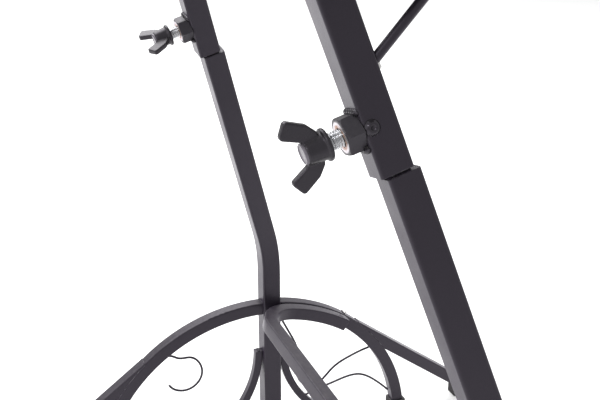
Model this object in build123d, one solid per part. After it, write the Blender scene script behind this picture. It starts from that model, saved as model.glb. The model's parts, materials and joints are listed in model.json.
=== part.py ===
"""Knock-down wrought-iron music stand: arched base, two leaning legs, scrollwork desk."""
import os
from math import acos, asin, atan, cos, degrees, radians, sin, sqrt, tan

from build123d import *

os.makedirs("parts", exist_ok=True)

# ---- stock sizes (mm) -------------------------------------------------------
tube = 19.0  # square tube of the legs
tube_wall = 1.2
tube_round = 2.0
bar = 13.0  # square bar of the base
bar_round = 1.2
wire = 2.4  # scroll wire of the base
rod = 5.5  # ledge braces
touch = 0.02  # how far a welded end sinks into what it is welded to

# ---- legs -------------------------------------------------------------------
joint_height = 446.0  # where the upper tube meets the lower one
joint_half = 173.0  # half the distance between the two legs at the joint
joint_y = 51.0
lean = tan(radians(17.3))  # backwards, per unit of height
converge = 0.2438  # towards each other, per unit of height
bend_drop = 218.0  # height of the joint above the bend's corner
bend_radius = 127.0
joint_gap = 1.6
upper_rise = 420.0  # height of the upper tube's top above the joint
cap_plate = 4.0

# ---- joint between upper and lower tube ---------------------------------------
spigot = 10.4
spigot_up = 62.0
spigot_down = 34.0
bore = tube - 2 * tube_wall
play = (bore - spigot) / 2  # the bolt pushes the spigot against the far wall
clamp_rise = 26.0  # height of the wing bolt above the joint

# ---- wing bolt -------------------------------------------------------------
nut_flats = 19.0
nut_height = 9.6
screw_r = 4.95
run_clear = 0.05  # thread stands for a running fit
hole_clear = 0.35
tip_gap = 0.3
thread_out = 7.5  # bare thread between nut and wing head
collar_r = 8.8
collar_height = 2.4
hub_r = 6.4
hub_height = 10.5
wing_reach = 21.0  # wing tip off the screw's axis
wing_rise = 16.5  # wing tip above the hub's foot
wing_width = 10.0
wing_thick = 4.2
wing_turn = {"left": -17.0, "right": 88.0}  # how the two bolts happen to be turned

# ---- base -------------------------------------------------------------------
arch_top = 163.4  # centre line of the arch above the floor
arch_radius = 172.9
strut_angle = 36.5  # slope of the straight foot bars
strut_start = 16.0  # where the foot bar has left the arch enough to be seen
foot_lift = 4.0  # the bars end this far above the floor, inside rubber feet
foot_wall = 2.0
foot_height = 13.0
stretcher_bend = 38.0
stretcher_end_angle = 34.0
flare_height = 112.0
flare_bar = 8.0

# ---- desk -------------------------------------------------------------------
brace_rise = 58.0  # weld of the brace above the joint, along the slope
brace_angle = 59.3  # between brace and leg
brace_reach = 95.0
ledge_width = 400.0
ledge_depth = 90.0
sheet = 2.5
lip_height = 18.0
flange_height = 12.0
desk_half = 205.0
desk_side = 215.0  # straight side of the desk outline
desk_rise = 300.0  # top of the desk outline above its bottom rail
desk_bar = 8.0
desk_wire = 4.0
rail_lift = 14.0
tie_rise = 395.0

# ---- page arms -------------------------------------------------------------
arm_x = 150.0
arm_length = 118.0
arm_wire = 3.0
arm_gap = 4.0  # room for the pages
arm_pin_r = 2.5
arm_head_r = 4.6
arm_side_gap = 0.3
sleeve_length = 30.0
sleeve_wall = 1.0

lean_angle = atan(lean)
SIDES = {"left": -1, "right": 1}


def save(shape, node):
    shape = Compound(children=shape) if isinstance(shape, list) else shape
    export_step(shape, f"parts/{node}.step")


# ---- places ------------------------------------------------------------------
def leg_direction(side):
    return Vector(-side * converge, lean, 1).normalized()


def leg_point(side, rise):
    x = side * (joint_half - converge * rise)
    return Vector(x, joint_y + lean * rise, joint_height + rise)


def leg_frame(side, rise, shift=0.0):
    """Frame on a leg: Z up the tube, Y out of the face that carries the nut."""
    up = leg_direction(side)
    x_dir = Vector(1, 0, 0) - up * up.X
    frame = Plane(origin=leg_point(side, rise), x_dir=x_dir.normalized(), z_dir=up)
    return frame * Pos(0, shift, 0)


leg_scale = sqrt(1 + lean**2 + converge**2)  # tube length per unit of height
desk = Plane(
    origin=(0, joint_y, joint_height),
    x_dir=(1, 0, 0),
    z_dir=(0, -cos(lean_angle), sin(lean_angle)),
)
face_out = tube / 2 - play  # front faces of the upper tubes, in the desk's frame


def half_at(slope):
    """Half the distance between the leg axes at a height along the slope."""
    return joint_half - converge * slope * cos(lean_angle)


corner = leg_point(1, -bend_drop)
foot_x = corner.X
foot_y = corner.Y
arch_centre = arch_top - arch_radius


# ---- legs -------------------------------------------------------------------
def tube_profile(outer, round_):
    inner = RectangleRounded(outer - 2 * tube_wall, outer - 2 * tube_wall, round_ - tube_wall)
    return RectangleRounded(outer, outer, round_) - inner


def lower_path(side):
    ends = [
        leg_point(side, 0),
        leg_point(side, -bend_drop),
        Vector(side * foot_x, foot_y, foot_lift),
    ]
    return FilletPolyline(*ends, radius=bend_radius)


def lower_leg(side, profile):
    up = leg_direction(side)
    x_dir = Vector(1, 0, 0) - up * up.X
    start = Plane(origin=leg_point(side, 0), x_dir=x_dir.normalized(), z_dir=-up)
    return sweep(start * profile, path=lower_path(side))


def upper_solid(side):
    block = RectangleRounded(tube, tube, tube_round)
    length = (upper_rise - joint_gap) * leg_scale
    return leg_frame(side, joint_gap, play) * extrude(block, length)


upper_outer = {name: upper_solid(side) for name, side in SIDES.items()}
lower_outer = {
    name: lower_leg(side, RectangleRounded(tube, tube, tube_round))
    for name, side in SIDES.items()
}
clamp_hole = Pos(0, tube / 2, 0) * Rot(90, 0, 0) * Cylinder(screw_r + hole_clear, tube)

for name, side in SIDES.items():
    save(lower_leg(side, tube_profile(tube, tube_round)), f"lower_leg_{name}")

    length = (upper_rise - joint_gap) * leg_scale
    upper = leg_frame(side, joint_gap, play) * extrude(tube_profile(tube, tube_round), length)
    upper -= leg_frame(side, clamp_rise, play) * clamp_hole
    save(upper, f"upper_leg_{name}")

    plug_up = Pos(0, 0, spigot_up / 2) * Box(spigot, spigot, spigot_up)
    plug_down = Pos(0, 0, -spigot_down / 2) * Box(bore - touch, bore - touch, spigot_down)
    lead = chamfer(plug_up.edges().group_by(Axis.Z)[-1], 1.5)
    root = fillet(plug_down.edges().filter_by(Axis.Z), tube_round - tube_wall)
    save(leg_frame(side, 0) * (lead + root), f"spigot_{name}")

    cap = Pos(0, 0, cap_plate / 2) * Box(tube, tube, cap_plate)
    cap = fillet(cap.edges().filter_by(Axis.Z), tube_round)
    cap = fillet(cap.edges().group_by(Axis.Z)[-1], tube_round - 0.4)
    stem = Pos(0, 0, -6) * Box(bore - touch, bore - touch, 12)
    cap += fillet(stem.edges().filter_by(Axis.Z), tube_round - tube_wall)
    save(leg_frame(side, upper_rise, play) * cap, f"tube_cap_{name}")


# ---- nuts and wing bolts -------------------------------------------------------
def clamp_frame(side):
    """Frame at the wing bolt: Z out of the tube wall, X up the tube."""
    return leg_frame(side, clamp_rise, play) * Pos(0, tube / 2, 0) * Rot(-90, 0, 0) * Rot(0, 0, -90)


def weld_nut():
    hexagon = RegularPolygon(nut_flats / 2, 6, major_radius=False, rotation=30)
    body = extrude(hexagon, nut_height)
    cone = Pos(0, 0, nut_height / 2) * Cone(nut_flats, nut_flats / 2 + 0.4, nut_height)
    body &= cone + Cylinder(nut_flats / 2 + 1.6, 2 * (nut_height - 1.4))
    return body - Cylinder(screw_r + run_clear, 4 * nut_height)


def wing():
    """One wing as a bent blade in the plane of the screw's axis, its foot inside the hub."""
    blade = Polyline(
        (hub_r * 0.5, 0.8),
        (wing_reach * 0.44, 1.8),
        (wing_reach * 0.70, 6.0),
        (wing_reach, wing_rise),
        (wing_reach - 0.85 * wing_width, wing_rise + 0.53 * wing_width),
        (hub_r + 0.4, hub_height + 0.6),
        (hub_r * 0.5, hub_height - 0.8),
        close=True,
    )
    blade = make_face(Plane.XZ * blade)
    corners = blade.vertices().sort_by(Axis.X)
    blade = fillet(corners[2:], 2.0)
    blade = extrude(blade, wing_thick / 2, both=True)
    rims = blade.edges().filter_by(Plane.XZ)
    return fillet(rims, wing_thick * 0.2)


def wing_head():
    low = nut_height + thread_out
    collar = Pos(0, 0, low + collar_height / 2) * Cylinder(collar_r, collar_height)
    collar = fillet(collar.edges().filter_by(GeomType.CIRCLE), 0.7)
    hub_low = low + collar_height
    hub = Pos(0, 0, hub_low + hub_height / 2) * Cone(collar_r - 1.2, hub_r, hub_height)
    hub = fillet(hub.edges().group_by(Axis.Z)[-1], 0.8)
    blade = Pos(0, 0, hub_low) * wing()
    return collar + hub + blade + Rot(0, 0, 180) * blade, low


def plug_weld():
    dome = Cylinder(3.4, 1.6)
    dome = fillet(dome.edges().group_by(Axis.Z)[-1], 1.1)
    return Pos(0, 0, 0.8) * (dome - Pos(0, 0, 1.3) * Sphere(1.2))


head, head_low = wing_head()
tip_depth = bore / 2 - (spigot / 2 - play) - tip_gap + tube_wall
for name, side in SIDES.items():
    at = clamp_frame(side)
    save(at * weld_nut(), f"weld_nut_{name}")
    screw_length = head_low + tip_depth
    screw = Cylinder(screw_r, screw_length)
    screw = chamfer(screw.edges().group_by(Axis.Z)[0], 1.0)
    save(at * Pos(0, 0, screw_length / 2 - tip_depth) * screw, f"bolt_screw_{name}")
    save(at * Rot(0, 0, wing_turn[name]) * head, f"bolt_wings_{name}")

welds = []
for side in SIDES.values():
    spot = leg_frame(side, clamp_rise, play) * Pos(side * tube / 2, tube * 0.27, 0)
    welds.append(spot * Rot(0, side * 90, 0) * plug_weld())
save(welds, "plug_welds")


# ---- base -------------------------------------------------------------------
def in_arch(side, shape):
    """Moves a shape from the YZ plane of an arch to its side of the stand."""
    return Pos(side * foot_x, 0, 0) * shape


def arch_ring(radius, width, start, end):
    """Square bar bent about the arch's centre; angles from the top towards +Y."""
    profile = Plane.XZ * Pos(0, arch_centre + radius) * RectangleRounded(width, width, bar_round)
    axis = Axis((0, 0, arch_centre), (-1, 0, 0))
    ring = revolve(profile, axis=axis, revolution_arc=end - start)
    return ring.rotate(axis, start)


def above(height):
    return Pos(0, 0, height + 500) * Box(3000, 3000, 1000)


half_turn = degrees(acos((foot_lift - arch_centre - 2 * bar) / arch_radius))
arch_full = arch_ring(arch_radius, bar, -half_turn, half_turn) & above(foot_lift)
strut_top = Vector(
    0, arch_radius * sin(radians(strut_angle)), arch_centre + arch_radius * cos(radians(strut_angle))
)
strut_length = strut_top.Z / sin(radians(strut_angle)) + bar


def strut(front):
    """Straight foot bar that leaves the arch along its tangent."""
    run = extrude(RectangleRounded(bar, bar, bar_round), strut_length)
    run &= Pos(0, 0, strut_start + strut_length) * Box(2 * bar, 2 * bar, 2 * strut_length)
    run = Pos(*strut_top) * Rot(-90 - strut_angle, 0, 0) * run
    run = run & above(foot_lift)
    run -= arch_ring(arch_radius, bar + 0.002, 0, half_turn)
    return mirror(run, about=Plane.XZ) if front else run


def foot_for(shape, height):
    """Rubber foot round the lowest part of a bar."""
    low = shape & (Pos(0, 0, foot_lift + height / 2) * Box(3000, 3000, height))
    size = low.bounding_box().size
    centre = low.bounding_box().center()
    foot = Pos(centre.X, centre.Y, (foot_lift + height) / 2) * Box(
        size.X + 2 * foot_wall, size.Y + 2 * foot_wall, foot_lift + height
    )
    foot = fillet(foot.edges().filter_by(Axis.Z), foot_wall)
    foot = chamfer(foot.edges().group_by(Axis.Z)[0], 0.8)
    return foot - shape


def largest(shape):
    return max(shape.solids(), key=lambda solid: solid.volume)


leg_feet, arch_feet, strut_feet = [], [], []
arches = {}
for name, side in SIDES.items():
    arch = in_arch(side, arch_full) - lower_outer[name]
    arches[name] = arch
    halves = sorted(arch.solids(), key=lambda solid: solid.center().Y)
    save(halves[0], f"arch_front_{name}")
    save(halves[-1], f"arch_back_{name}")
    arch_feet += [foot_for(half, foot_height - foot_lift) for half in (halves[0], halves[-1])]
    for place in ("front", "back"):
        foot_bar = in_arch(side, strut(place == "front"))
        foot_bar = largest(foot_bar)
        save(foot_bar, f"foot_bar_{place}_{name}")
        strut_feet.append(foot_for(foot_bar, foot_height - foot_lift))
    leg_feet.append(foot_for(lower_outer[name], foot_height - foot_lift))
save(arch_feet, "arch_feet")
save(strut_feet, "foot_bar_feet")
save(leg_feet, "leg_feet")

# ---- stretcher, bent at both ends to lie along the arches -----------------------
end_x = foot_x - tube / 2 - bar / 2
start_angle = degrees(asin(stretcher_bend / arch_radius))
straight = Plane.YZ * (Pos(stretcher_bend, arch_top) * RectangleRounded(bar, bar, bar_round))
stretcher = extrude(straight, end_x - stretcher_bend, both=True)
for side in SIDES.values():
    turn_axis = Axis((side * (end_x - stretcher_bend), 0, 0), (0, 0, -side))
    profile = Pos(side * (end_x - stretcher_bend), 0, 0) * straight
    stretcher += revolve(profile, axis=turn_axis, revolution_arc=90)
    tail = arch_ring(arch_radius, bar, start_angle - stretcher_end_angle, 0)
    stretcher += Pos(side * end_x, 0, 0) * tail
arch_axis = Axis((0, 0, arch_centre), (-1, 0, 0))
stretcher = stretcher.rotate(arch_axis, -start_angle)
save(stretcher.solids()[0] if len(stretcher.solids()) == 1 else stretcher, "stretcher")


# ---- flared bars at the foot of each leg -----------------------------------------
flare_radius = flare_height
flare_arc = degrees(asin((flare_height - foot_lift) / flare_radius)) + 2


def flare(out):
    """Bar that starts along the leg and sweeps out to the floor."""
    start_y = out * (tube + flare_bar) / 2
    profile = Pos(0, start_y, flare_height) * RectangleRounded(flare_bar, flare_bar, 0.8)
    pivot_y = out * ((tube + flare_bar) / 2 + flare_radius)
    axis = Axis((0, pivot_y, flare_height), (-out, 0, 0))
    return revolve(profile, axis=axis, revolution_arc=-flare_arc)


flares = {}
for name, side in SIDES.items():
    bars = [(Pos(side * foot_x, foot_y, 0) * flare(out)) & above(foot_lift / 2) for out in (-1, 1)]
    flares[name] = [largest(b - lower_outer[name] - leg_feet[(side + 1) // 2]) for b in bars]
    save(flares[name], f"leg_flares_{name}")


# ---- scroll wires in the arches ---------------------------------------------------
def polar(part, angle):
    """Point inside the arch: part of its inner radius, angle from the top to +Y."""
    radius = part * (arch_radius - bar / 2)
    return Vector(0, radius * sin(radians(angle)), arch_centre + radius * cos(radians(angle)))


def run_wire(points, thickness):
    path = Spline(*points)
    start = Plane(origin=path @ 0, z_dir=path % 0)
    return sweep(start * Circle(thickness / 2), path=path)


curl_centre = polar(0.81, 35.6)
curl_radius = 0.122 * arch_radius
curl_turn = [radians(78 + 36 * step) for step in range(8)]
curl = [polar(1.0, 36.5), polar(0.965, 33.6)] + [
    curl_centre
    + Vector(0, cos(angle), sin(angle)) * (curl_radius * (1 - 0.02 * step))
    for step, angle in enumerate(curl_turn)
]
bow = [polar(0.99, -9), polar(0.85, -16), polar(0.72, -24), polar(0.53, -37), polar(0.56, -47),
       polar(0.72, -48.5), polar(0.87, -51), polar(0.998, -54.2)]
tail_wire = [polar(0.99, -77.5), polar(0.91, -69), polar(0.84, -62.5), polar(0.66, -56),
             polar(0.50, -49), polar(0.33, -40)]
for name, side in SIDES.items():
    wires = [run_wire(points, wire) for points in (curl, bow, tail_wire)]
    mirrored = run_wire([Vector(0, -p.Y, p.Z) for p in tail_wire], wire)
    welded_to = [lower_outer[name], arches[name], *flares[name]]
    wires = [largest(in_arch(side, w) - welded_to) for w in wires + [mirrored]]
    save(wires, f"arch_scrolls_{name}")

# ---- ledge, braces, ties -------------------------------------------------------------
ledge_at = brace_rise + brace_reach / tan(radians(brace_angle))
plate = Pos(0, ledge_at + sheet / 2, face_out + ledge_depth / 2) * Box(ledge_width, sheet, ledge_depth)
lip = Pos(0, ledge_at + lip_height / 2, face_out + ledge_depth - sheet / 2) * Box(
    ledge_width, lip_height, sheet
)
flange = Pos(0, ledge_at - flange_height / 2 + sheet, face_out + sheet / 2) * Box(
    ledge_width, flange_height, sheet
)
save(desk * (plate + lip + flange), "ledge")

brace_length = brace_reach / sin(radians(brace_angle))
for name, side in SIDES.items():
    brace_x = side * (half_at(brace_rise) + tube / 2 - rod / 2 - tube_round / 2)
    lead_in = 2 * rod
    brace = Pos(0, 0, brace_length / 2) * Cylinder(rod / 2, brace_length + 2 * lead_in)
    brace = Pos(brace_x, brace_rise, face_out) * Rot(-(90 - brace_angle), 0, 0) * brace
    ceiling = Pos(0, ledge_at + 500 - touch, 0) * Box(3000, 1000, 3000)
    brace = desk * (brace - ceiling) - upper_outer[name]
    save(largest(brace), f"ledge_brace_{name}")

tie = Pos(0, tie_rise, -play) * Box(2 * half_at(tie_rise), bar, bar)
save(largest(desk * tie - upper_outer["left"] - upper_outer["right"]), "top_tie")

# ---- desk frame and its scrolls ----------------------------------------------------------
rail = ledge_at + sheet + rail_lift


def outline(inset):
    low, side_top, top = rail + inset, rail + desk_side, rail + desk_rise - inset
    half = desk_half - inset
    edges = Polyline((-half, side_top), (-half, low), (half, low), (half, side_top))
    edges += ThreePointArc((half, side_top), (0, top), (-half, side_top))
    return make_face(edges)


desk_ring = extrude(outline(-desk_bar / 2) - outline(desk_bar / 2), desk_bar)
desk_ring = desk * Pos(0, 0, face_out) * desk_ring
save(desk_ring, "desk_frame")


def desk_curve(points):
    depth = face_out + desk_bar / 2
    path = Spline(*[Vector(x, y, depth) for x, y in points])
    start = Plane(origin=path @ 0, z_dir=path % 0)
    return desk * sweep(start * Circle(desk_wire / 2), path=path)


def spiral(centre, start, turn, radius, shrink, steps=8):
    """Points of a curl that tightens as it turns."""
    points = []
    for step in range(steps + 1):
        angle = radians(start + turn * step / steps)
        reach = radius * (1 - shrink * step / steps)
        points.append((centre[0] + reach * cos(angle), centre[1] + reach * sin(angle)))
    return points


def flip(points):
    return [(-x, y) for x, y in points]


low_rail = rail + desk_bar / 2
lyre = [(20, low_rail), (54, rail + 32), (66, rail + 82), (44, rail + 138)]
lyre += spiral((62, rail + 196), 215, -330, 30, 0.55)
heart = [(desk_half - desk_bar / 2, rail + 40), (desk_half - 34, rail + 52)]
heart += spiral((desk_half - 52, rail + 92), 300, 420, 34, 0.6, 10)
crown = [(desk_half - desk_bar / 2, rail + 186), (desk_half - 30, rail + 176)]
crown += spiral((desk_half - 50, rail + 146), 60, -400, 26, 0.55, 10)
curves = {}
for node, curve in (("lyre_scrolls", lyre), ("side_scrolls", heart), ("top_scrolls", crown)):
    curves[node] = [largest(desk_curve(half) - desk_ring) for half in (curve, flip(curve))]
    save(curves[node], node)

string_top = rail + 128
yoke_bar = 0.75 * desk_wire
yoke = Pos(0, string_top, face_out + desk_bar / 2) * Box(desk_half / 2, yoke_bar, yoke_bar)
yoke = desk * yoke - curves["lyre_scrolls"]
save(min(yoke.solids(), key=lambda solid: abs(solid.center().X)), "lyre_yoke")
strings = []
for x in (-12, 0, 12):
    span = string_top - yoke_bar / 2 - low_rail
    string = Pos(x, low_rail + span / 2, face_out + desk_bar / 2) * Rot(90, 0, 0)
    strings.append(desk * string * Cylinder(wire / 2, span))
save(strings, "lyre_strings")

# ---- page arms -----------------------------------------------------------------------------
pin_face = face_out + desk_bar
eye_r = arm_pin_r + run_clear + arm_wire / 2
eye_at = pin_face + arm_gap + arm_wire / 2
for name, side in SIDES.items():
    at = desk * Pos(side * arm_x, rail, 0)
    shank = arm_gap + arm_wire + 2 * arm_side_gap
    pin = Pos(0, 0, pin_face + shank / 2) * Cylinder(arm_pin_r, shank)
    collar_len = arm_gap - arm_side_gap
    spacer = Pos(0, 0, pin_face + collar_len / 2) * Cylinder(arm_head_r, collar_len)
    button = Pos(0, 0, pin_face + shank + 1) * Cylinder(arm_head_r, 2)
    button = fillet(button.edges().group_by(Axis.Z)[-1], 1.2)
    save(at * (pin + spacer + button), f"arm_pin_{name}")

    eye = Pos(0, 0, eye_at) * Torus(eye_r, arm_wire / 2)
    stem = Pos(0, eye_r + arm_length / 2, eye_at) * Rot(90, 0, 0) * Cylinder(arm_wire / 2, arm_length)
    clear = Pos(0, 0, eye_at) * Cylinder(arm_pin_r + run_clear, 4 * arm_wire)
    save(at * (eye + stem - clear), f"page_arm_{name}")

    sleeve = Cylinder(arm_wire / 2 + sleeve_wall, sleeve_length)
    sleeve = fillet(sleeve.edges(), sleeve_wall * 0.7)
    sleeve -= Pos(0, 0, 2) * Cylinder(arm_wire / 2, sleeve_length)
    top = eye_r + arm_length - sleeve_length / 2 + 2
    save(at * Pos(0, top, eye_at) * Rot(90, 0, 0) * sleeve, f"arm_sleeve_{name}")
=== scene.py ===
# %% [markdown]
# # A wrought-iron music stand
# The stand is a steel frame of square tube and square bar under a black powder coat.
# Two wing bolts clamp the upper legs to the lower ones, and thin wire scrolls fill the arches.
# The solid parts arrive as a finished frame. This lesson gives them their finishes, and adds
# what a solid model leaves out: screw threads, weld beads and worn edges.

# %% Load the frame and keep its box
import json
import math

import bmesh
import bpy
from mathutils import Matrix, Vector


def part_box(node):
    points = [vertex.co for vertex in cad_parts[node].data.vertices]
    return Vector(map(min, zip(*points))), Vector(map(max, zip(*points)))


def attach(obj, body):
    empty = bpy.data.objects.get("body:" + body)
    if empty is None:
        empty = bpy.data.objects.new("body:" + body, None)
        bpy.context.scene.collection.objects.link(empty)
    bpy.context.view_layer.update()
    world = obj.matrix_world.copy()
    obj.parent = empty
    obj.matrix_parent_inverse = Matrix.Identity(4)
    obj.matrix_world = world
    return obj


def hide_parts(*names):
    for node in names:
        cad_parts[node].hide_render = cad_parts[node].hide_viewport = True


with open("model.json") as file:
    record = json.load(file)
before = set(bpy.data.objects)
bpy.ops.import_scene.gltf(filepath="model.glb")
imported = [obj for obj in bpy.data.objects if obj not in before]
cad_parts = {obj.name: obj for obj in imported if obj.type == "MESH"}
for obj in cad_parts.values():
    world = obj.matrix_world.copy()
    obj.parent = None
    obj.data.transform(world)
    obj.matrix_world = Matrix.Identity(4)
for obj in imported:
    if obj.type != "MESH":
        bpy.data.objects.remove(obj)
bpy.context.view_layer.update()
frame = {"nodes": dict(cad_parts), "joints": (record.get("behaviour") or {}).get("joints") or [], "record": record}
nodes = frame["nodes"]
joints = {joint["name"]: joint for joint in frame["joints"]}
sides = (("left", -1), ("right", 1))

# %% [markdown]
# ## Shader groups
# Several finishes share the same three effects: grain, wear and dust. Each effect is one node
# group with named sockets, so a change to it reaches every finish. Wiring nodes by hand takes
# many lines, and a few small helpers keep the groups short enough to read.


# %% Helpers that make a group and wire number nodes
def new_group(name, inputs, outputs):
    tree = bpy.data.node_groups.new(name, "ShaderNodeTree")
    for label, kind, value in inputs:
        socket = tree.interface.new_socket(label, in_out="INPUT", socket_type=kind)
        socket.default_value = value
    for label, kind in outputs:
        tree.interface.new_socket(label, in_out="OUTPUT", socket_type=kind)
    return tree, tree.nodes.new("NodeGroupInput"), tree.nodes.new("NodeGroupOutput")


def feed(tree, socket, value):
    """Give a socket a plain value, or link it to another node's output."""
    if isinstance(value, (int, float, Vector)):
        socket.default_value = value
    elif value is not None:
        tree.links.new(value, socket)


def math_node(tree, operation, first, second=None, clamp=False):
    node = tree.nodes.new("ShaderNodeMath")
    node.operation = operation
    node.use_clamp = clamp
    feed(tree, node.inputs[0], first)
    feed(tree, node.inputs[1], second)
    return node.outputs[0]


def vector_math(tree, operation, first, second=None):
    node = tree.nodes.new("ShaderNodeVectorMath")
    node.operation = operation
    feed(tree, node.inputs[0], first)
    feed(tree, node.inputs[1], second)
    return node


def map_range(tree, value, start, end, low=0.0, high=1.0):
    """Bring a value from start..end to low..high, and hold it there outside."""
    node = tree.nodes.new("ShaderNodeMapRange")
    node.inputs["From Min"].default_value = start
    node.inputs["From Max"].default_value = end
    node.inputs["To Min"].default_value = low
    node.inputs["To Max"].default_value = high
    tree.links.new(value, node.inputs["Value"])
    return node.outputs[0]


def noise_on(tree, place, scale, detail, roughness=0.5):
    node = tree.nodes.new("ShaderNodeTexNoise")
    node.inputs["Detail"].default_value = detail
    node.inputs["Roughness"].default_value = roughness
    tree.links.new(place, node.inputs["Vector"])
    feed(tree, node.inputs["Scale"], scale)
    return node.outputs[0]


print("helpers ready for the shader groups")

# %% [markdown]
# A powder coat melts into a very fine orange peel. It could be modelled as one noise, but a
# tube also shows slow changes of gloss along its length. So the grain group gives out two
# sizes of noise: one for the peel's height, one for the patches.


# %% Surface grain: peel height and slow gloss changes
def make_grain():
    tree, given, result = new_group(
        "surface_grain",
        [("Peel scale", "NodeSocketFloat", 900.0), ("Patch scale", "NodeSocketFloat", 14.0)],
        [("Height", "NodeSocketFloat"), ("Patches", "NodeSocketFloat")],
    )
    place = tree.nodes.new("ShaderNodeTexCoord").outputs["Object"]
    peel = noise_on(tree, place, given.outputs["Peel scale"], detail=3.0)
    patches = noise_on(tree, place, given.outputs["Patch scale"], detail=5.0, roughness=0.62)
    tree.links.new(peel, result.inputs["Height"])
    tree.links.new(patches, result.inputs["Patches"])
    return tree


grain = make_grain()
print("made", grain.name)

# %% [markdown]
# Wear shows first on outside edges, where paint is thinnest. A Bevel node looks at the surface
# a short way around each point; where its rounded normal differs from the true one, there is an
# edge. Noise breaks the line up, so that the rubbing looks accidental.

# %% Edge wear: a mask along outside edges
edge_reach = 0.0009  # metres that the Bevel node looks around each point
edge_gain = 9.0  # how quickly a turned normal counts as an edge
rubbed_from, rubbed_to = 0.46, 0.62  # noise between these fades from painted to rubbed


def make_wear():
    tree, given, result = new_group(
        "edge_wear",
        [("Amount", "NodeSocketFloat", 1.0), ("Breakup scale", "NodeSocketFloat", 160.0)],
        [("Mask", "NodeSocketFloat"), ("Soft normal", "NodeSocketVector")],
    )
    bevel = tree.nodes.new("ShaderNodeBevel")
    bevel.samples = 6
    bevel.inputs["Radius"].default_value = edge_reach
    surface = tree.nodes.new("ShaderNodeNewGeometry")
    dot = vector_math(tree, "DOT_PRODUCT", bevel.outputs[0], surface.outputs["Normal"])
    turn = math_node(tree, "SUBTRACT", 1.0, dot.outputs["Value"])
    edge = math_node(tree, "MULTIPLY", turn, edge_gain, clamp=True)
    place = tree.nodes.new("ShaderNodeTexCoord").outputs["Object"]
    noise = noise_on(tree, place, given.outputs["Breakup scale"], detail=4.0)
    worn = math_node(tree, "MULTIPLY", edge, map_range(tree, noise, rubbed_from, rubbed_to))
    mask = math_node(tree, "MULTIPLY", worn, given.outputs["Amount"], clamp=True)
    tree.links.new(mask, result.inputs["Mask"])
    tree.links.new(bevel.outputs[0], result.inputs["Soft normal"])
    return tree


wear = make_wear()
print("made", wear.name)

# %% [markdown]
# Dust settles on what faces up. The mask takes the upward part of the surface normal and
# multiplies it by noise, so that level faces look slightly dry and the undersides stay clean.

# %% Dust: a mask on upward faces
level_from = 0.55  # upward part of the normal at which dust begins to lie
speck_scale, speck_detail = 260.0, 6.0
speck_contrast = 2.2  # a power that thins the specks out


def make_dust():
    tree, given, result = new_group(
        "settled_dust",
        [("Amount", "NodeSocketFloat", 0.2)],
        [("Mask", "NodeSocketFloat")],
    )
    surface = tree.nodes.new("ShaderNodeNewGeometry")
    split = tree.nodes.new("ShaderNodeSeparateXYZ")
    tree.links.new(surface.outputs["Normal"], split.inputs[0])
    upward = map_range(tree, split.outputs["Z"], level_from, 1.0)
    place = tree.nodes.new("ShaderNodeTexCoord").outputs["Object"]
    noise = noise_on(tree, place, speck_scale, speck_detail)
    specks = math_node(tree, "POWER", noise, speck_contrast)
    lying = math_node(tree, "MULTIPLY", upward, specks)
    mask = math_node(tree, "MULTIPLY", lying, given.outputs["Amount"], clamp=True)
    tree.links.new(mask, result.inputs["Mask"])
    return tree


dust = make_dust()
print("made", dust.name)

# %% [markdown]
# ## Finishes
# All finishes use one recipe with different numbers: a base colour, a worn colour on the edges,
# a dusty colour on top, and roughness and bump from the grain. The numbers that are the same
# all over a surface sit on the shader's own sockets.


# %% Helpers for the finish recipe
def mix_colour(tree, mask, first, second):
    node = tree.nodes.new("ShaderNodeMix")
    node.data_type = "RGBA"
    tree.links.new(mask, node.inputs["Factor"])
    for value, socket in ((first, node.inputs["A"]), (second, node.inputs["B"])):
        if isinstance(value, tuple):
            socket.default_value = (*value, 1.0)
        else:
            tree.links.new(value, socket)
    return node.outputs["Result"]


def place_group(tree, group, **values):
    node = tree.nodes.new("ShaderNodeGroup")
    node.node_tree = group
    for label, value in values.items():
        node.inputs[label.replace("_", " ")].default_value = value
    return node


def spread(tree, noise, low, high):
    """Stretch a noise, which stays mostly between 0.3 and 0.7, over low..high."""
    return map_range(tree, noise, 0.3, 0.7, low, high)


print("helpers ready for the finishes")

# %% [markdown]
# This coat's reflections carry a faint violet. A tint on the reflection gives it without
# touching the black beneath. Dust is a warm grey, and paint that is rubbed thin a darker one.

# %% The finish recipe
dust_colour = (0.33, 0.32, 0.31)
rubbed_grey = (0.16, 0.155, 0.16)
violet_reflection = (0.93, 0.86, 1.0)
violet_sheen = (0.78, 0.60, 1.0, 1.0)
white = (1, 1, 1)
coat_ior = 1.42
peel_depth = 0.0002  # metres from the lowest to the highest point of the peel


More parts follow.
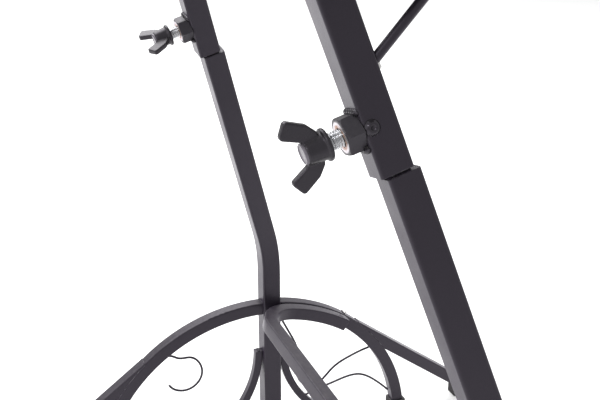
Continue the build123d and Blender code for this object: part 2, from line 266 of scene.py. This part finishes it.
def finish(name, colour, colour_2, rough, peel=900.0, bump=0.1, metal=0.0, worn=rubbed_grey,
           wear_amount=0.5, dust_amount=0.25, tint=violet_reflection, sheen=0.0):
    material = bpy.data.materials.new(name)
    material.use_nodes = True
    tree = material.node_tree
    shader = tree.nodes["Principled BSDF"]
    shader.inputs["Metallic"].default_value = metal
    shader.inputs["Specular Tint"].default_value = (*tint, 1.0)
    shader.inputs["IOR"].default_value = coat_ior
    shader.inputs["Sheen Weight"].default_value = sheen
    shader.inputs["Sheen Tint"].default_value = violet_sheen
    peel_node = place_group(tree, grain, Peel_scale=peel)
    edge_node = place_group(tree, wear, Amount=wear_amount)
    dust_node = place_group(tree, dust, Amount=dust_amount)
    base = mix_colour(tree, peel_node.outputs["Patches"], colour, colour_2)
    base = mix_colour(tree, edge_node.outputs["Mask"], base, worn)
    base = mix_colour(tree, dust_node.outputs["Mask"], base, dust_colour)
    tree.links.new(base, shader.inputs["Base Color"])
    gloss = spread(tree, peel_node.outputs["Patches"], rough[0], rough[1])
    gloss = math_node(tree, "ADD", gloss, dust_node.outputs["Mask"], clamp=True)
    tree.links.new(gloss, shader.inputs["Roughness"])
    bumps = tree.nodes.new("ShaderNodeBump")
    bumps.inputs["Strength"].default_value = bump
    bumps.inputs["Distance"].default_value = peel_depth
    tree.links.new(peel_node.outputs["Height"], bumps.inputs["Height"])
    tree.links.new(edge_node.outputs["Soft normal"], bumps.inputs["Normal"])
    tree.links.new(bumps.outputs[0], shader.inputs["Normal"])
    return material


print("the finish recipe uses", grain.name, wear.name, "and", dust.name)

# %% [markdown]
# Each finish gives two base colours, which the slow patches mix, and a range of roughness.
# Paint is near black with a satin gloss, and the frame's own coat has the finest peel.

# %% Painted finishes
powder = finish("powder_coat_black", (0.0085, 0.0068, 0.0100), (0.0140, 0.0118, 0.0160),
                (0.27, 0.42), peel=1500.0, bump=0.35, sheen=0.06)
satin = finish("wing_satin_black", (0.0085, 0.0078, 0.0092), (0.015, 0.014, 0.016),
               (0.22, 0.34), peel=1100.0, bump=0.25)
# The hub disc's grey is a painted reflection: its flat end is made lighter to stand for the white it reflects.
painted_reflection_grey = finish("hub_disc_painted_reflection", (0.10, 0.092, 0.108), (0.15, 0.138, 0.158),
                   (0.24, 0.34), bump=0.15)
gloss_black = finish("weld_gloss_black", (0.010, 0.009, 0.011), (0.018, 0.016, 0.020),
                     (0.14, 0.24), peel=500.0, bump=0.5)
blackened = finish("rivet_black", (0.018, 0.017, 0.020), (0.030, 0.029, 0.032),
                   (0.30, 0.42), peel=1300.0, bump=0.2)
print("painted:", [m.name for m in (powder, satin, painted_reflection_grey, gloss_black, blackened)])

# %% [markdown]
# Zinc and bare weld metal are full metals without wear or dust. Plastic, vinyl and rubber are
# rougher, and rub to a darker grey than paint does.

# %% Metals, plastics and rubber
zinc = finish("zinc_bright", (0.36, 0.37, 0.39), (0.56, 0.56, 0.58), (0.10, 0.22),
              metal=1.0, bump=0.12, wear_amount=0.0, dust_amount=0.0, tint=white)
bare_weld = finish("weld_bare", (0.52, 0.51, 0.50), (0.78, 0.77, 0.76), (0.22, 0.42),
                   metal=1.0, peel=700.0, bump=0.4, wear_amount=0.0, dust_amount=0.0,
                   tint=white)
cap_plastic = finish("cap_plastic_black", (0.014, 0.014, 0.015), (0.022, 0.022, 0.023),
                     (0.42, 0.56), peel=600.0, bump=0.3, worn=(0.07, 0.07, 0.07))
sleeve_vinyl = finish("sleeve_vinyl", (0.022, 0.022, 0.024), (0.034, 0.034, 0.036),
                      (0.45, 0.60), peel=500.0, bump=0.3, worn=(0.06, 0.06, 0.06))
rubber = finish("foot_rubber", (0.014, 0.014, 0.014), (0.028, 0.027, 0.026),
                (0.68, 0.85), peel=420.0, bump=0.6, worn=(0.10, 0.10, 0.10),
                wear_amount=0.9, dust_amount=0.8)
print("other finishes:", [m.name for m in (zinc, bare_weld, cap_plastic, sleeve_vinyl, rubber)])

# %% [markdown]
# The weld nut is painted with the frame, but its outer face was masked or wiped, and shows
# bare steel with a little rust round the thread. The face is found by its direction: it points
# along the bolt. The rust is found by its distance from the bolt's axis, with the two sides of
# the stand folded onto each other, since they are mirror images.


# %% Where a wing bolt is, and how far a point is from it
def bolt_line(side):
    """A point on a wing bolt's axis, and the direction in which the bolt sticks out."""
    joint = joints[f"wing_bolt_{side}_turn"]
    return Vector(joint["pos_m"]), Vector(joint["axis"]).normalized()


bolt_point, bolt_axis = bolt_line("right")


def radius_from_bolt(tree, place):
    """Distance from the bolt's axis, the same on both sides of the stand."""
    split = tree.nodes.new("ShaderNodeSeparateXYZ")
    tree.links.new(place, split.inputs[0])
    join = tree.nodes.new("ShaderNodeCombineXYZ")
    tree.links.new(math_node(tree, "ABSOLUTE", split.outputs["X"]), join.inputs["X"])
    tree.links.new(split.outputs["Y"], join.inputs["Y"])
    tree.links.new(split.outputs["Z"], join.inputs["Z"])
    away = vector_math(tree, "SUBTRACT", join.outputs[0], bolt_point)
    across = vector_math(tree, "CROSS_PRODUCT", away.outputs["Vector"], bolt_axis)
    return vector_math(tree, "LENGTH", across.outputs["Vector"]).outputs["Value"]


print("bolt at", tuple(round(v, 4) for v in bolt_point), "axis",
      tuple(round(v, 3) for v in bolt_axis))

# %% [markdown]
# Two rings of distance shape the bare face. Inside the outer one the paint is gone, and
# within the inner one the steel rusts. Each fades over about a millimetre.

# %% The nut's finish: black flanks, bare face, rusty rim
face_from, face_to = 0.90, 0.97  # how squarely a face looks along the bolt
rust_none, rust_full = 0.0072, 0.0060  # metres from the axis
paint_full, paint_none = 0.0088, 0.0080
dull_steel, bright_steel = (0.50, 0.49, 0.47), (0.74, 0.73, 0.71)
rust_colour = (0.42, 0.17, 0.06)


def nut_finish():
    material = finish("nut_black_bare", (0.016, 0.015, 0.018), (0.028, 0.026, 0.030),
                      (0.34, 0.46), peel=1300.0, bump=0.3)
    tree = material.node_tree
    shader = tree.nodes["Principled BSDF"]
    black = shader.inputs["Base Color"].links[0].from_socket
    surface = tree.nodes.new("ShaderNodeNewGeometry")
    facing = vector_math(tree, "DOT_PRODUCT", surface.outputs["Normal"], bolt_axis)
    face = map_range(tree, facing.outputs["Value"], face_from, face_to)
    place = tree.nodes.new("ShaderNodeTexCoord").outputs["Object"]
    radius = radius_from_bolt(tree, place)
    rim = map_range(tree, radius, rust_none, rust_full)
    inside = map_range(tree, radius, paint_full, paint_none)
    speck = noise_on(tree, place, 420.0, detail=5.0)
    rust = math_node(tree, "MULTIPLY", rim, spread(tree, speck, 0.1, 1.3), clamp=True)
    steel = mix_colour(tree, speck, dull_steel, bright_steel)
    steel = mix_colour(tree, rust, steel, rust_colour)
    bare = math_node(tree, "MULTIPLY", face, inside)
    tree.links.new(mix_colour(tree, bare, black, steel), shader.inputs["Base Color"])
    clean = math_node(tree, "SUBTRACT", 1.0, rust, clamp=True)
    tree.links.new(math_node(tree, "MULTIPLY", bare, clean), shader.inputs["Metallic"])
    return material


nut = nut_finish()
print("made", nut.name)

# %% [markdown]
# The frame's own parts keep their shapes, and only change their material. Each part's record
# names a slot, such as powder coat or rubber, so one small table dresses all of them.

# %% Put the finishes on the frame's own parts
by_slot = {
    "powder_coat": powder,
    "nut_steel": nut,
    "zinc": zinc,
    "wing_black": satin,
    "rivet_steel": blackened,
    "cap_plastic": cap_plastic,
    "vinyl": sleeve_vinyl,
    "rubber": rubber,
}
for part in frame["record"]["subparts"]:
    node = nodes[part["node"]]
    node.data.materials.clear()
    node.data.materials.append(by_slot[part["material_slot"]])
print("finished", len(nodes), "parts")

# %% [markdown]
# ## Helpers for made pieces
# Geometry Nodes build what follows a rule or a path. A tree needs a carrier object and a
# modifier, and the export needs plain meshes, so the result is copied out at the end.


# %% Turn a node tree's result into a plain mesh
def new_object(name, mesh):
    made = bpy.data.objects.new(name, mesh)
    bpy.context.scene.collection.objects.link(made)
    return made


def grow(name, tree, values, carrier=None):
    """Run a geometry tree on a carrier mesh and keep the result as a plain mesh."""
    holder = new_object(name + "_carrier", carrier or bpy.data.meshes.new(name + "_seed"))
    modifier = holder.modifiers.new("tree", "NODES")
    modifier.node_group = tree
    for item in tree.interface.items_tree:
        if item.in_out == "INPUT" and item.name in values:
            modifier[item.identifier] = values[item.name]
    depsgraph = bpy.context.evaluated_depsgraph_get()
    mesh = bpy.data.meshes.new_from_object(holder.evaluated_get(depsgraph))
    bpy.data.objects.remove(holder)
    mesh.name = name
    return new_object(name, mesh)


def new_tree(name, inputs):
    tree = bpy.data.node_groups.new(name, "GeometryNodeTree")
    tree.interface.new_socket("Geometry", in_out="INPUT", socket_type="NodeSocketGeometry")
    for label, kind, value in inputs:
        socket = tree.interface.new_socket(label, in_out="INPUT", socket_type=kind)
        if value is not None:
            socket.default_value = value
    tree.interface.new_socket("Geometry", in_out="OUTPUT", socket_type="NodeSocketGeometry")
    return tree, tree.nodes.new("NodeGroupInput"), tree.nodes.new("NodeGroupOutput")


def realize_and_paint(tree, geometry, given, result):
    """The end of every tree: real geometry, with the material that was asked for."""
    flat = tree.nodes.new("GeometryNodeRealizeInstances")
    paint = tree.nodes.new("GeometryNodeSetMaterial")
    tree.links.new(geometry, flat.inputs[0])
    tree.links.new(flat.outputs[0], paint.inputs["Geometry"])
    tree.links.new(given.outputs["Material"], paint.inputs["Material"])
    tree.links.new(paint.outputs[0], result.inputs[0])


def shade_smooth(mesh):
    for face in mesh.polygons:
        face.use_smooth = True


print("helpers ready for made pieces")

# %% [markdown]
# ## The screws
# A thread is a ridge that climbs one pitch for each turn. The tree rolls a flat grid into a
# tube and lets the radius follow height minus turn, in a triangle wave. A real helix costs
# little here, and it catches the light between nut and wing head as no bump would.

# %% The thread's rule for its radius
whole_turns = 8.0  # added so that the fraction never starts from a negative number
crest_gain = 2.3  # cuts the triangle wave's tips off, for flat roots between the ridges
lead_gain = 26.0  # the lead-in is the first 26th of the length
lead_depth = 0.0011  # metres that the lead-in narrows by


def thread_radius(tree, given, turn, share, height):
    steps = math_node(tree, "DIVIDE", height, given.outputs["Pitch"])
    phase = math_node(tree, "SUBTRACT", steps, turn)
    phase = math_node(tree, "FRACT", math_node(tree, "ADD", phase, whole_turns))
    wave = math_node(tree, "ABSOLUTE", math_node(tree, "SUBTRACT", phase, 0.5))
    wave = math_node(tree, "MULTIPLY", wave, crest_gain, clamp=True)
    cut = math_node(tree, "MULTIPLY", wave, given.outputs["Depth"])
    past_lead = math_node(tree, "MULTIPLY", share, lead_gain, clamp=True)
    lead = math_node(tree, "SUBTRACT", 1.0, past_lead)
    lead = math_node(tree, "MULTIPLY", lead, lead_depth)
    return math_node(tree, "SUBTRACT", given.outputs["Radius"],
                     math_node(tree, "ADD", cut, lead))


print("thread rule: lead-in of", lead_depth * 1000, "mm")

# %% [markdown]
# A grid of side 1 is the sheet that gets rolled up. Its X is one turn, its Y is the length.
# The two long edges meet, so close points are merged into a closed tube.

# %% The thread tree
points_around = 49
seam_gap = 0.00002  # metres within which the rolled edges join


def thread_tree():
    tree, given, result = new_tree("thread", [
        ("Radius", "NodeSocketFloat", 0.005),
        ("Length", "NodeSocketFloat", 0.02),
        ("Pitch", "NodeSocketFloat", 0.0015),
        ("Depth", "NodeSocketFloat", 0.0009),
        ("Rings", "NodeSocketInt", 140),
        ("Material", "NodeSocketMaterial", None),
    ])
    grid = tree.nodes.new("GeometryNodeMeshGrid")
    grid.inputs["Size X"].default_value = 1.0
    grid.inputs["Size Y"].default_value = 1.0
    grid.inputs["Vertices X"].default_value = points_around
    tree.links.new(given.outputs["Rings"], grid.inputs["Vertices Y"])
    where = tree.nodes.new("GeometryNodeInputPosition")
    split = tree.nodes.new("ShaderNodeSeparateXYZ")
    tree.links.new(where.outputs[0], split.inputs[0])
    turn = math_node(tree, "ADD", split.outputs["X"], 0.5)
    share = math_node(tree, "ADD", split.outputs["Y"], 0.5)
    height = math_node(tree, "MULTIPLY", share, given.outputs["Length"])
    radius = thread_radius(tree, given, turn, share, height)
    angle = math_node(tree, "MULTIPLY", turn, 2 * math.pi)
    x = math_node(tree, "MULTIPLY", radius, math_node(tree, "COSINE", angle))
    y = math_node(tree, "MULTIPLY", radius, math_node(tree, "SINE", angle))
    join = tree.nodes.new("ShaderNodeCombineXYZ")
    for value, label in ((x, "X"), (y, "Y"), (height, "Z")):
        tree.links.new(value, join.inputs[label])
    move = tree.nodes.new("GeometryNodeSetPosition")
    tree.links.new(grid.outputs["Mesh"], move.inputs["Geometry"])
    tree.links.new(join.outputs[0], move.inputs["Position"])
    merge = tree.nodes.new("GeometryNodeMergeByDistance")
    merge.inputs["Distance"].default_value = seam_gap
    tree.links.new(move.outputs[0], merge.inputs["Geometry"])
    realize_and_paint(tree, merge.outputs[0], given, result)
    return tree


threads = thread_tree()
print("made", threads.name)

# %% [markdown]
# A screw's place and size are measured on the solid that it replaces, along the joint's own
# axis. That way the thread stays inside the nut whatever size the solid has.

# %% Measure a screw along its axis
hub_radius = 0.0058


def along_axis(node, point, axis):
    """Lowest and highest reach of a part along an axis, and its largest radius."""
    reach, radius = [], 0.0
    for vertex in nodes[node].data.vertices:
        offset = vertex.co - point
        step = offset.dot(axis)
        reach.append(step)
        radius = max(radius, (offset - axis * step).length)
    return min(reach), max(reach), radius


def head_top(node, point, axis):
    """Height of the hub's flat end: the highest point close to the axis."""
    best = 0.0
    for vertex in nodes[node].data.vertices:
        offset = vertex.co - point
        step = offset.dot(axis)
        if (offset - axis * step).length < hub_radius:
            best = max(best, step)
    return best


screw_end = {side: head_top(f"bolt_wings_{side}", *bolt_line(side)) for side, _ in sides}
print("hub ends at", {side: round(height, 4) for side, height in screw_end.items()})

# %% [markdown]
# The thread is grown upright at the origin, closed at both ends, and then its points are
# turned and moved onto the bolt. The object itself stays at the origin.

# %% Cut the threads
hidden_length = 0.002  # metres of thread that run on inside the wing head


def frame_on(point, axis, upward=Vector((0, 0, 1))):
    """A transform that stands the Z axis on a point, along an axis."""
    side = upward.cross(axis).normalized()
    turn = Matrix((side, axis.cross(side), axis)).transposed().to_4x4()
    return Matrix.Translation(point) @ turn


def close_ends(mesh):
    work = bmesh.new()
    work.from_mesh(mesh)
    bmesh.ops.holes_fill(work, edges=work.edges, sides=0)
    bmesh.ops.recalc_face_normals(work, faces=work.faces)
    work.to_mesh(mesh)
    work.free()


for side, _ in sides:
    point, axis = bolt_line(side)
    low, high, radius = along_axis(f"bolt_screw_{side}", point, axis)
    screw = grow(f"screw_thread_{side}", threads,
                 {"Radius": radius, "Length": high - low + hidden_length, "Material": zinc})
    close_ends(screw.data)
    screw.data.transform(frame_on(point + axis * low, axis))
    shade_smooth(screw.data)
    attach(screw, f"wing_bolt_{side}")
    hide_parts(f"bolt_screw_{side}")
    print(screw.name, len(screw.data.polygons), "faces, length", round(high - low, 4))

# %% [markdown]
# ## Wing heads
# The wing heads are cast, so their wings grow out of the hub in soft hollows. Copying the hard
# solid, rebuilding its skin in small cubes and smoothing it a few times gives those hollows
# without drawing them. A turned disc is the flat end of the hub, with a groove round it. Its
# pale grey colour is a painted reflection: the flat end is made lighter than the black head.


# %% Turn a shape from a profile
def turned(profile, point, axis, steps=64):
    """Closed shape turned about an axis from (radius, height) pairs."""
    place = frame_on(point, axis)
    points, faces = [], []
    for radius, height in profile:
        for step in range(steps):
            angle = 2 * math.pi * step / steps
            across = Vector((radius * math.cos(angle), radius * math.sin(angle), height))
            points.append(place @ across)
    for row in range(len(profile) - 1):
        for step in range(steps):
            after = (step + 1) % steps
            low, high = row * steps, (row + 1) * steps
            faces.append((low + step, low + after, high + after, high + step))
    faces.append(tuple(reversed(range(steps))))
    faces.append(tuple(range((len(profile) - 1) * steps, len(profile) * steps)))
    mesh = bpy.data.meshes.new("turned")
    mesh.from_pydata(points, [], faces)
    return mesh


print("helper ready for turned shapes")

# %% [markdown]
# The solid arrives as loose triangles, so close points are joined before the skin is rebuilt.
# Small cells keep the wings' outline, and few rounds of smoothing keep their thickness.

# %% Cast wing heads
loose_gap = 0.000005  # metres within which the solid's loose corners join
skin_cell = 0.00036  # metres across one cube of the rebuilt skin
smooth_rounds = 5


def soft_copy(node, name, cell, rounds):
    """Copy of a part with its skin rebuilt in small cells and smoothed."""
    mesh = nodes[node].data.copy()
    work = bmesh.new()
    work.from_mesh(mesh)
    bmesh.ops.remove_doubles(work, verts=work.verts, dist=loose_gap)
    work.to_mesh(mesh)
    work.free()
    copy = new_object(name, mesh)
    remesh = copy.modifiers.new("skin", "REMESH")
    remesh.mode = "VOXEL"
    remesh.voxel_size = cell
    smooth = copy.modifiers.new("soften", "SMOOTH")
    smooth.factor = 0.5
    smooth.iterations = rounds
    depsgraph = bpy.context.evaluated_depsgraph_get()
    result = bpy.data.meshes.new_from_object(copy.evaluated_get(depsgraph))
    bpy.data.objects.remove(copy)
    result.name = name
    shade_smooth(result)
    return new_object(name, result)


def disc_profile(end):
    """Radius and height of the hub's end disc, with the groove near its rim."""
    return [(0.0057, end - 0.002), (0.0057, end + 0.0009), (0.0054, end + 0.0013),
            (0.0049, end + 0.0014), (0.0048, end + 0.0011), (0.0001, end + 0.0012)]


for side, _ in sides:
    point, axis = bolt_line(side)
    head = soft_copy(f"bolt_wings_{side}", f"wing_head_{side}", skin_cell, smooth_rounds)
    head.data.materials.clear()
    head.data.materials.append(satin)
    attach(head, f"wing_bolt_{side}")
    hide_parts(f"bolt_wings_{side}")
    disc = turned(disc_profile(screw_end[side]), point, axis)
    for face in disc.polygons:
        face.use_smooth = len(face.vertices) == 4
    disc = new_object(f"hub_disc_{side}", disc)
    # The disc's pale grey is a painted reflection of the white studio, not the head's own colour.
    disc.data.materials.append(painted_reflection_grey)
    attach(disc, f"wing_bolt_{side}")
    print(head.name, len(head.data.polygons), "faces;", disc.name)

# %% [markdown]
# ## Plug welds
# Beside each nut, a plug weld fills a hole in the tube: a low dome that sank in the middle as it
# cooled. It's turned like the hub disc, with the crater drawn in the profile.

# %% Plug welds
dome_profile = [
    (0.0044, -0.0004), (0.0042, 0.0001), (0.0036, 0.0006), (0.0031, 0.0012), (0.0025, 0.0016),
    (0.0019, 0.0017), (0.0014, 0.0014), (0.0010, 0.0009), (0.0005, 0.0006), (0.0001, 0.0005),
]
dome_sink = 0.0008  # metres from the solid weld's middle down to the tube's face


def out_of_leg(side, sign):
    """Direction that leaves the leg's outer face, square to the leg."""
    leg = [v.co for v in nodes[f"upper_leg_{side}"].data.vertices]
    along = (max(leg, key=lambda p: p.z) - min(leg, key=lambda p: p.z)).normalized()
    outward = Vector((sign, 0, 0))
    return (outward - along * outward.dot(along)).normalized()


plug_meshes = bmesh.new()
for side, sign in sides:
    spot = [v.co for v in nodes["plug_welds"].data.vertices if v.co.x * sign > 0]
    middle = sum(spot, Vector()) / len(spot)
    outward = out_of_leg(side, sign)
    plug_meshes.from_mesh(turned(dome_profile, middle - outward * dome_sink, outward))
bmesh.ops.recalc_face_normals(plug_meshes, faces=plug_meshes.faces)
domes_mesh = bpy.data.meshes.new("plug_domes")
plug_meshes.to_mesh(domes_mesh)
plug_meshes.free()
shade_smooth(domes_mesh)
domes = new_object("plug_domes", domes_mesh)
domes.data.materials.append(gloss_black)
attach(domes, "frame")
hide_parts("plug_welds")
print("domes", len(domes_mesh.polygons), "faces")

# %% [markdown]
# ## Weld beads
# Hand welding leaves a bead of overlapping ripples. The tree takes a line, cuts it into even
# steps, gives each step a radius from a ripple and a fixed noise, and sweeps a circle along it.
# The nuts, the braces and the main joints of the base get one. Paint covers all but a few.

# %% The bead's rule for its thickness
wave_length = 0.0016  # metres along the bead for one wave, which makes two ripples
ripple_noise = 420.0
plain_thickness = 0.75
taper_gain, taper_least = 9.0, 0.04  # how quickly the ends grow full, and how thin they start


def bead_thickness(tree, given):
    along = tree.nodes.new("GeometryNodeSplineParameter")
    phase = math_node(tree, "MULTIPLY", along.outputs["Length"], 2 * math.pi / wave_length)
    wave = math_node(tree, "ABSOLUTE", math_node(tree, "SINE", phase))
    where = tree.nodes.new("GeometryNodeInputPosition")
    noise = tree.nodes.new("ShaderNodeTexNoise")
    noise.inputs["Scale"].default_value = ripple_noise
    tree.links.new(where.outputs[0], noise.inputs["Vector"])
    mixed = math_node(tree, "ADD", wave, noise.outputs[0])
    swell = math_node(tree, "MULTIPLY", mixed, given.outputs["Ripple"])
    share = along.outputs["Factor"]
    ends = math_node(tree, "MULTIPLY", share, math_node(tree, "SUBTRACT", 1.0, share))
    taper = math_node(tree, "MULTIPLY", ends, taper_gain, clamp=True)
    taper = math_node(tree, "POWER", math_node(tree, "ADD", taper, taper_least), 0.5)
    return math_node(tree, "MULTIPLY", math_node(tree, "ADD", swell, plain_thickness), taper)


print("ripples of", wave_length / 2 * 1000, "mm")

# %% [markdown]
# The sweep's Scale socket takes that thickness at every step, so one circle gives the whole
# bead its uneven skin. Caps close both ends.

# %% The bead tree
points_round_bead = 14


def bead_tree():
    tree, given, result = new_tree("weld_bead", [
        ("Radius", "NodeSocketFloat", 0.0016),
        ("Ripple", "NodeSocketFloat", 0.22),
        ("Step", "NodeSocketFloat", 0.00035),
        ("Material", "NodeSocketMaterial", None),
    ])
    curve = tree.nodes.new("GeometryNodeMeshToCurve")
    even = tree.nodes.new("GeometryNodeResampleCurve")
    even.mode = "LENGTH"
    tree.links.new(given.outputs["Geometry"], curve.inputs[0])
    tree.links.new(curve.outputs[0], even.inputs[0])
    tree.links.new(given.outputs["Step"], even.inputs["Length"])
    ring = tree.nodes.new("GeometryNodeCurvePrimitiveCircle")
    ring.inputs["Resolution"].default_value = points_round_bead
    tree.links.new(given.outputs["Radius"], ring.inputs["Radius"])
    sweep = tree.nodes.new("GeometryNodeCurveToMesh")
    sweep.inputs["Fill Caps"].default_value = True
    tree.links.new(even.outputs[0], sweep.inputs["Curve"])
    tree.links.new(ring.outputs["Curve"], sweep.inputs["Profile Curve"])
    tree.links.new(bead_thickness(tree, given), sweep.inputs["Scale"])
    realize_and_paint(tree, sweep.outputs[0], given, result)
    return tree


beads = bead_tree()
print("made", beads.name)

# %% [markdown]
# A bead lies where two parts meet. The places could be typed in, but they would be wrong as
# soon as a size changed. So each one is measured on a part: the middle of the points that lie
# farthest in some direction, such as the top of a foot bar.

# %% Helpers that find and draw bead lines
across = Vector((1, 0, 0))
black_lines, bright_lines, thick_lines = [], [], []


def far_end(node, direction, depth=0.002, keep=None):
    """Middle of the points of a part that lie farthest in a direction."""
    direction = Vector(direction)
    points = [v.co for v in nodes[node].data.vertices if keep is None or keep(v.co)]
    most = max(p.dot(direction) for p in points)
    chosen = [p for p in points if p.dot(direction) > most - depth]
    return sum(chosen, Vector()) / len(chosen)


def line_over(middle, half, way=across):
    return [middle - way * half, middle, middle + way * half]


def line_mesh(lines):
    mesh = bpy.data.meshes.new("lines")
    points, edges = [], []
    for line in lines:
        start = len(points)
        points += [tuple(p) for p in line]
        edges += [(start + i, start + i + 1) for i in range(len(line) - 1)]
    mesh.from_pydata(points, edges, [])
    return mesh


print("helpers ready for bead lines")

# %% [markdown]
# Each nut has a bead along its upper and its lower flank. Each brace has a bare bead where it
# leaves the leg, and a short painted one under the ledge.

# %% Beads at the nuts and braces
up, down = (0, 0, 1), (0, 0, -1)
nut_to_bead, nut_lift, nut_half = 0.0098, 0.0003, 0.0088
end_depth = 0.004  # metres of a part's end that count as its end


def nut_beads(side, leg):
    point, axis = bolt_line(side)
    over = leg.cross(axis).normalized()
    for offset in (-nut_to_bead, nut_to_bead):
        thick_lines.append(line_over(point + leg * offset + axis * nut_lift, nut_half, over))


def brace_beads(side, sign, leg):
    low = far_end(f"ledge_brace_{side}", down, end_depth)
    start = low - leg * 0.0042 + across * sign * 0.0004
    bright_lines.append([start, low, low + leg * 0.0036])
    high = far_end(f"ledge_brace_{side}", up, 0.003)
    black_lines.append(line_over(high, 0.004))


print("rules ready for the nuts and braces")

# %% [markdown]
# In the base, a bead crosses each foot bar's top, each flared bar's top, the stretcher's ends
# and the crown of each arch, where its front and back halves meet the leg.

# %% Beads in the base
bar_half = 0.0062  # metres, about half a bar's width
stretcher_turn = 0.19  # metres from the middle, past which the stretcher bends back
to_edge = Vector((0, 0.001, 0.0055))  # from the stretcher's middle up to its edge


def foot_beads(side):
    for place in ("front", "back"):
        top = far_end(f"foot_bar_{place}_{side}", up, 0.0025)
        black_lines.append(line_over(top, bar_half))
    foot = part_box(f"leg_flares_{side}")
    for way in (-1, 1):
        top = far_end(f"leg_flares_{side}", up, 0.002,
                      lambda p: (p.y - (foot[0][1] + foot[1][1]) / 2) * way > 0)
        black_lines.append(line_over(top, 0.004))


def arch_beads(side, sign):
    tail = far_end("stretcher", (0, -1, 0), 0.003, lambda p: p.x * sign > stretcher_turn)
    bright_lines.append(line_over(tail + across * sign * 0.0065 + to_edge, 0.0045))
    back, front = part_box(f"arch_back_{side}"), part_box(f"arch_front_{side}")
    for y, z in ((back[0][1], back[1][2]), (front[1][1], front[1][2] - 0.0006)):
        seam = Vector(((back[0][0] + back[1][0]) / 2, y, z - 0.0004))
        black_lines.append(line_over(seam, bar_half))


for side, sign in sides:
    leg = far_end(f"upper_leg_{side}", up, end_depth)
    leg -= far_end(f"upper_leg_{side}", down, end_depth)
    leg.normalize()
    nut_beads(side, leg)
    brace_beads(side, sign, leg)
    foot_beads(side)
    arch_beads(side, sign)
print(len(black_lines), "painted,", len(bright_lines), "bare and", len(thick_lines), "nut beads")

# %% [markdown]
# The lines of one finish grow together into one piece, since all of them belong to the frame.
# The sweep leaves doubled points at the caps, so they're merged and the faces turned outwards.

# %% Make the beads
doubled_gap = 0.000002
for name, lines, radius, paint_on, slot_name in (
    ("beads_painted", black_lines, 0.0013, powder, "powder_coat"),
    ("beads_nut", thick_lines, 0.0019, gloss_black, "powder_coat"),
    ("beads_bare", bright_lines, 0.0019, bare_weld, "powder_coat"),
):
    made = grow(name, beads, {"Radius": radius, "Material": paint_on}, line_mesh(lines))
    shade_smooth(made.data)
    work = bmesh.new()
    work.from_mesh(made.data)
    bmesh.ops.remove_doubles(work, verts=work.verts, dist=doubled_gap)
    bmesh.ops.recalc_face_normals(work, faces=work.faces)
    work.to_mesh(made.data)
    work.free()
    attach(made, "frame")
    print(name, len(made.data.polygons), "faces")

# %% [markdown]
# ## Studio
# A black satin object shows mostly what it reflects. Here floor and sky are both white, so
# faces seen at a slant turn pale, as glossy paint does, and faces seen straight on stay black.

# %% Floor and sky
reach = 6.0
floor_white = (0.93, 0.93, 0.93, 1)
floor_mesh = bpy.data.meshes.new("floor")
floor_mesh.from_pydata(
    [(-reach, -reach, 0), (reach, -reach, 0), (reach, reach, 0), (-reach, reach, 0)],
    [], [(0, 1, 2, 3)],
)
floor = new_object("studio_floor", floor_mesh)
pale = bpy.data.materials.new("floor_pale")
pale.use_nodes = True
pale.node_tree.nodes["Principled BSDF"].inputs["Base Color"].default_value = floor_white
pale.node_tree.nodes["Principled BSDF"].inputs["Roughness"].default_value = 0.9
floor_mesh.materials.append(pale)

sky = bpy.data.worlds.new("studio_sky")
bpy.context.scene.world = sky
sky.use_nodes = True
sky.node_tree.nodes["Background"].inputs["Color"].default_value = (1, 1, 1, 1)
sky.node_tree.nodes["Background"].inputs["Strength"].default_value = 0.80
bpy.context.scene.view_settings.view_transform = "Standard"
print("floor", 2 * reach, "m wide under", sky.name)

# %% [markdown]
# Panels behind and above the right side brighten the floor that the side faces reflect, and a
# small key lamp gives rounded corners and weld beads their sharp glints.


# %% Lights
def add_panel(name, place, target, width, height, watts):
    light = bpy.data.lights.new(name, "AREA")
    light.energy = watts
    light.shape = "RECTANGLE"
    light.size = width
    light.size_y = height
    lamp = bpy.data.objects.new(name, light)
    bpy.context.scene.collection.objects.link(lamp)
    lamp.location = place
    lamp.rotation_euler = (Vector(target) - Vector(place)).to_track_quat("-Z", "Y").to_euler()
    return lamp


add_panel("panel_back", (0.1, 2.4, 1.0), (0, 0, 0.45), 3.0, 2.0, 16)
add_panel("panel_right", (1.7, 0.2, 2.2), (1.3, 0.1, 0.0), 2.4, 2.4, 95)
add_panel("panel_key", (-0.9, 1.3, 1.5), (-0.15, 0.05, 0.45), 0.4, 0.4, 7)

# %% [markdown]
# ## Camera
# The camera stands behind the stand's left leg and looks down across it, close enough for one
# wing bolt to be large while the other leg and its arch stay in view. The lens is about 52 mm.

# %% Camera
camera = bpy.data.objects.new("camera", bpy.data.cameras.new("camera"))
bpy.context.scene.collection.objects.link(camera)
camera.data.lens = 52.07
camera.data.sensor_width = 36.0
camera.data.clip_start = 0.01
camera.location = (-0.54522, 0.25031, 0.58853)
view_along = Vector((0.87144, -0.34111, -0.35246))
camera.rotation_euler = view_along.to_track_quat("-Z", "Y").to_euler()
bpy.context.scene.camera = camera
print("camera at", tuple(round(v, 3) for v in camera.location))
